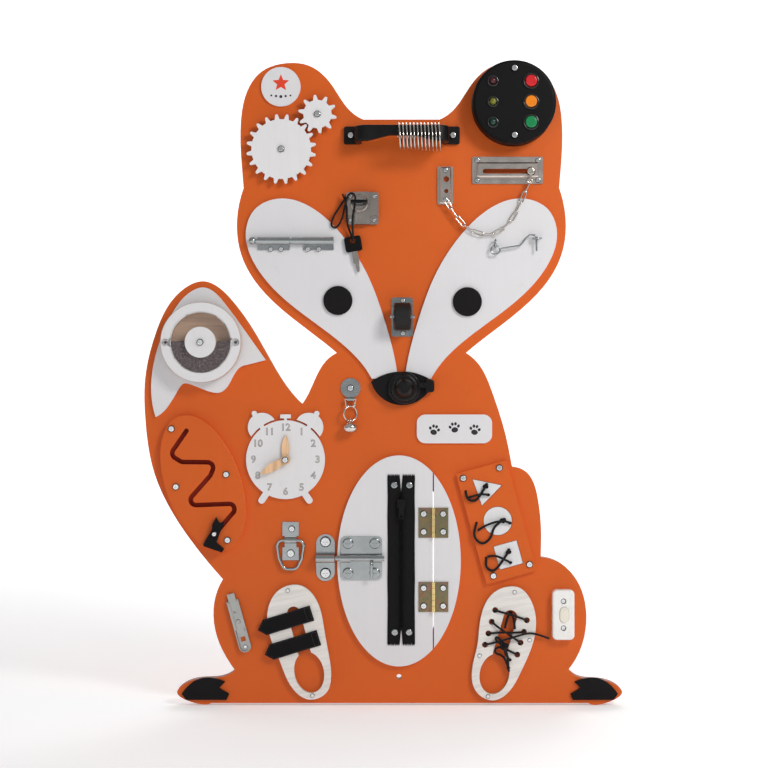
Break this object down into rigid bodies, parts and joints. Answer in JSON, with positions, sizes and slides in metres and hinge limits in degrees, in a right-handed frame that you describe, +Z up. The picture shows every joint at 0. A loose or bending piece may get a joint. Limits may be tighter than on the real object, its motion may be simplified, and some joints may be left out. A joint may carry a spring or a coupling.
{
  "type": "busy board",
  "caption": "Wooden fox-shaped busy board with gears, locks, bolts, hinged belly door, zip, shape sorter, clock, maze, shoes, bells, signal box and handle.",
  "frame": {"origin": "on the axis of the lower wall-fixing hole, at the board's back face", "axes": "+X to the viewer's right, +Y out of the back face into the wall, +Z up"},
  "size_m": [0.5996, 0.0649, 0.806],
  "materials": {
    "orange_wood": "orange-painted wood, satin",
    "white_wood": "white-painted wood, satin",
    "black_wood": "black-painted wood, satin",
    "bare_wood": "oiled wood, matt",
    "white_plastic": "moulded plastic, gloss",
    "circuit": "printed circuit board with lamps",
    "red_plastic": "gloss",
    "amber_plastic": "gloss",
    "green_plastic": "gloss",
    "black_plastic": "satin",
    "zinc_steel": "zinc-plated steel",
    "yellow_zinc": "yellow-passivated zinc-plated steel",
    "nickel_steel": "nickel-plated steel",
    "grains": "loose seeds",
    "clear_window": "clear acrylic",
    "tape_fabric": "woven tape",
    "strap_fabric": "hook-and-loop tape",
    "cord_fabric": "braided cord"
  },
  "bodies": {
    "board": {"fox_panel": "orange_wood", "white_panels": "white_wood", "black_panels": "black_wood", "bow_handle": "black_plastic", "signal_case": "black_plastic", "signal_circuit": "circuit", "lock_case": "nickel_steel", "chain_plates": "nickel_steel", "door_chain": "nickel_steel", "tower_bolt_plates": "zinc_steel", "roller_frame": "zinc_steel", "bell_body": "black_plastic", "shaker_grains": "grains", "maze_plate": "orange_wood", "clock_face": "white_wood", "ring_fittings": "zinc_steel", "belly_strip": "white_wood", "fixed_hinge_leaves": "yellow_zinc", "shape_panel": "orange_wood", "shoe_plates": "white_wood", "shoelace": "cord_fabric", "switch_body": "white_plastic", "flat_bolt_channel": "zinc_steel", "screws": "zinc_steel", "key_cord": "cord_fabric"},
    "large_gear": {"gear_large": "white_wood"},
    "small_gear": {"gear_small": "white_wood"},
    "coil": {"slinky_coil": "nickel_steel"},
    "lock_key_body": {"lock_key": "nickel_steel"},
    "spare_key_body": {"spare_key": "nickel_steel"},
    "chain_slider_body": {"chain_slider": "nickel_steel"},
    "tower_rod": {"tower_bolt_rod": "zinc_steel"},
    "hook": {"cabin_hook": "zinc_steel"},
    "roller": {"roller_wheel": "black_plastic"},
    "lever": {"bell_lever": "black_plastic"},
    "shaker": {"shaker_wheel": "white_wood", "shaker_window": "clear_window"},
    "maze_runner": {"maze_slider": "black_wood"},
    "hour": {"hour_hand": "bare_wood"},
    "minute": {"minute_hand": "bare_wood"},
    "jingle": {"jingle_bell": "nickel_steel"},
    "ring": {"d_ring": "zinc_steel"},
    "door": {"belly_door": "white_wood", "zipper_tape": "tape_fabric", "door_fittings": "zinc_steel"},
    "zip_runner": {"zip_slider": "black_plastic"},
    "door_bolt": {"door_bolt_rod": "zinc_steel"},
    "triangle": {"triangle_piece": "white_wood", "triangle_cord": "cord_fabric"},
    "circle": {"circle_piece": "white_wood", "circle_cord": "cord_fabric"},
    "square": {"square_piece": "white_wood", "square_cord": "cord_fabric"},
    "upper_strap": {"strap_upper": "strap_fabric"},
    "lower_strap": {"strap_lower": "strap_fabric"},
    "rocker": {"switch_button": "white_plastic"},
    "tongue": {"flat_bolt_tongue": "zinc_steel"},
    "red_button": {"button_red": "red_plastic"},
    "amber_button": {"button_amber": "amber_plastic"},
    "green_button": {"button_green": "green_plastic"}
  },
  "joints": [
    {"name": "gear_large_spin", "type": "hinge", "parent": "board", "child": "large_gear", "pos_m": [-0.1472, -0.0238, 0.661], "axis": [0, -1, 0], "continuous": true},
    {"name": "gear_small_spin", "type": "hinge", "parent": "board", "child": "small_gear", "pos_m": [-0.10188, -0.0238, 0.70461], "axis": [0, -1, 0], "continuous": true},
    {"name": "coil_slide", "type": "slide", "parent": "board", "child": "coil", "axis": [-1, 0, 0], "range_m": [0, 0.038]},
    {"name": "lock_turn", "type": "hinge", "parent": "board", "child": "lock_key_body", "pos_m": [-0.0496, -0.025, 0.5934], "axis": [0, -1, 0], "range_deg": [0, 90]},
    {"name": "spare_key_swing", "type": "hinge", "parent": "board", "child": "spare_key_body", "pos_m": [-0.058, -0.022, 0.5465], "axis": [0, -1, 0], "range_deg": [-15, 15]},
    {"name": "chain_slider_slide", "type": "slide", "parent": "board", "child": "chain_slider_body", "axis": [-1, 0, 0], "range_m": [0, 0.04]},
    {"name": "tower_bolt_slide", "type": "slide", "parent": "board", "child": "tower_rod", "axis": [-1, 0, 0], "range_m": [0, 0.03]},
    {"name": "cabin_hook_swing", "type": "hinge", "parent": "board", "child": "hook", "pos_m": [0.1205, -0.0254, 0.538], "axis": [0, -1, 0], "range_deg": [0, 32]},
    {"name": "roller_spin", "type": "hinge", "parent": "board", "child": "roller", "pos_m": [0.004, -0.0335, 0.4515], "axis": [1, 0, 0], "continuous": true},
    {"name": "bell_lever_press", "type": "hinge", "parent": "board", "child": "lever", "pos_m": [0.0276, -0.025, 0.366], "axis": [0, -1, 0], "range_deg": [0, 25], "stiffness_Nm_per_rad": 0.06, "springref_deg": -20.05},
    {"name": "shaker_spin", "type": "hinge", "parent": "board", "child": "shaker", "pos_m": [-0.2467, -0.03, 0.4193], "axis": [0, -1, 0], "continuous": true},
    {"name": "maze_slider_slide", "type": "slide", "parent": "board", "child": "maze_runner", "axis": [0.6497, 0, 0.7602], "range_m": [0, 0.026]},
    {"name": "hour_hand_turn", "type": "hinge", "parent": "board", "child": "hour", "pos_m": [-0.1422, -0.0208, 0.2727], "axis": [0, -1, 0], "continuous": true},
    {"name": "minute_hand_turn", "type": "hinge", "parent": "board", "child": "minute", "pos_m": [-0.1422, -0.0241, 0.2727], "axis": [0, -1, 0], "continuous": true},
    {"name": "jingle_bell_swing", "type": "hinge", "parent": "board", "child": "jingle", "pos_m": [-0.0608, -0.0212, 0.3484], "axis": [1, 0, 0], "range_deg": [-80, 0]},
    {"name": "d_ring_flip", "type": "hinge", "parent": "board", "child": "ring", "pos_m": [-0.136, -0.0193, 0.1715], "axis": [1, 0, 0], "range_deg": [-110, 0]},
    {"name": "belly_door_swing", "type": "hinge", "parent": "board", "child": "door", "pos_m": [0.043, -0.0241, 0.146], "axis": [0, 0, 1], "range_deg": [0, 110]},
    {"name": "zip_slide", "type": "slide", "parent": "door", "child": "zip_runner", "axis": [0, 0, -1], "range_m": [0, 0.14]},
    {"name": "door_bolt_slide", "type": "slide", "parent": "door", "child": "door_bolt", "axis": [-1, 0, 0], "range_m": [0, 0.024]},
    {"name": "triangle_lift", "type": "slide", "parent": "board", "child": "triangle", "axis": [0, -1, 0], "range_m": [0, 0.012]},
    {"name": "circle_lift", "type": "slide", "parent": "board", "child": "circle", "axis": [0, -1, 0], "range_m": [0, 0.012]},
    {"name": "square_lift", "type": "slide", "parent": "board", "child": "square", "axis": [0, -1, 0], "range_m": [0, 0.012]},
    {"name": "strap_upper_flap", "type": "hinge", "parent": "board", "child": "upper_strap", "pos_m": [-0.109, -0.0213, 0.081], "axis": [-0.2924, 0, 0.9563], "range_deg": [0, 85]},
    {"name": "strap_lower_flap", "type": "hinge", "parent": "board", "child": "lower_strap", "pos_m": [-0.1003, -0.0213, 0.0503], "axis": [-0.2924, 0, 0.9563], "range_deg": [0, 85]},
    {"name": "switch_press", "type": "slide", "parent": "board", "child": "rocker", "axis": [0, 1, 0], "range_m": [0, 0.0018], "stiffness_N_per_m": 400, "springref_m": -0.003},
    {"name": "flat_bolt_slide", "type": "slide", "parent": "board", "child": "tongue", "axis": [0.2706, 0, -0.9627], "range_m": [0, 0.014]},
    {"name": "button_red_press", "type": "slide", "parent": "board", "child": "red_button", "axis": [0, 1, 0], "range_m": [0, 0.002], "stiffness_N_per_m": 300, "springref_m": -0.003},
    {"name": "button_amber_press", "type": "slide", "parent": "board", "child": "amber_button", "axis": [0, 1, 0], "range_m": [0, 0.002], "stiffness_N_per_m": 300, "springref_m": -0.003},
    {"name": "button_green_press", "type": "slide", "parent": "board", "child": "green_button", "axis": [0, 1, 0], "range_m": [0, 0.002], "stiffness_N_per_m": 300, "springref_m": -0.003}
  ],
  "couplings": [
    {"joint": "gear_small_spin", "follows": "gear_large_spin", "ratio": -2}
  ]
}
